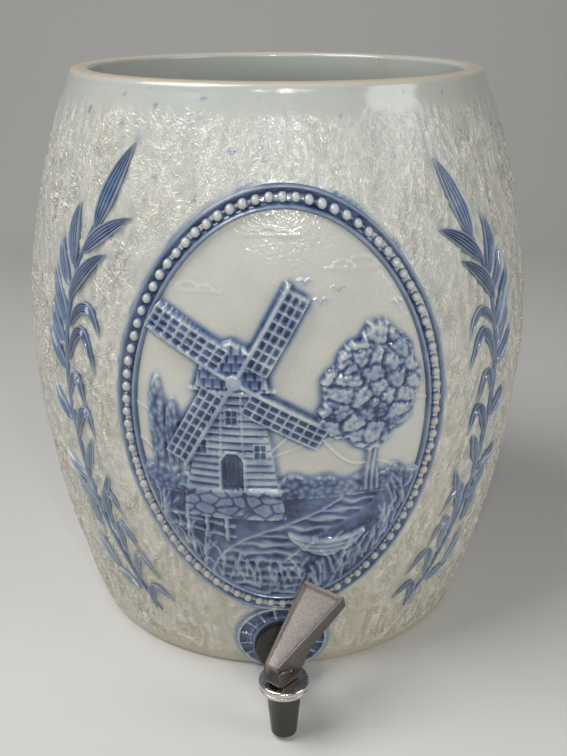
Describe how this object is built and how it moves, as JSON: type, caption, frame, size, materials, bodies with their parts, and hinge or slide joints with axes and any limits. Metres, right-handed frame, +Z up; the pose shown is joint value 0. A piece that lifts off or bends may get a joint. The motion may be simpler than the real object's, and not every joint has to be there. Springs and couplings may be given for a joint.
{
  "type": "water pot with tap",
  "caption": "Barrel-shaped stoneware water pot, open at the top, with an oval relief panel, leaf sprays and a lever tap low on the front.",
  "frame": {"origin": "centre of the pot's flat base", "axes": "+Z up through the mouth, -Y out through the tap, +X to the right of someone who faces the tap"},
  "size_m": [0.316, 0.3592, 0.35],
  "materials": {
    "salt_glazed_stoneware": "gloss",
    "black_polypropylene": "satin",
    "black_rubber": "matte",
    "white_nylon": "matte",
    "clear_silicone": "satin",
    "chrome_plate": "polished",
    "stainless_steel": "brushed"
  },
  "bodies": {
    "pot": {"stoneware_pot": "salt_glazed_stoneware", "tap_body": "black_polypropylene", "outer_gasket": "black_rubber", "inner_gasket": "black_rubber", "slip_washer": "white_nylon", "lock_nut": "black_polypropylene", "bonnet": "chrome_plate", "seat_cup": "clear_silicone"},
    "spring": {"return_spring": "stainless_steel"},
    "stem": {"valve_stem": "black_polypropylene", "hinge_pin": "stainless_steel"},
    "lever": {"lever": "black_polypropylene"}
  },
  "joints": [
    {"name": "handle_swivel", "type": "hinge", "parent": "pot", "child": "spring", "pos_m": [0, -0.187, 0.045], "axis": [0, 0, 1], "continuous": true},
    {"name": "stem_lift", "type": "slide", "parent": "spring", "child": "stem", "axis": [0, 0, 1], "range_m": [0, 0.0043], "deforming": ["return_spring", "seat_cup"]},
    {"name": "lever_tilt", "type": "hinge", "parent": "stem", "child": "lever", "pos_m": [0, -0.187, 0.045], "axis": [0.7478, -0.6639, 0], "range_deg": [0, 46], "stiffness_Nm_per_rad": 0.045, "springref_deg": -34.38}
  ],
  "couplings": [
    {"joint": "lever_tilt", "follows": "stem_lift", "rad_per_m": 181.82}
  ]
}
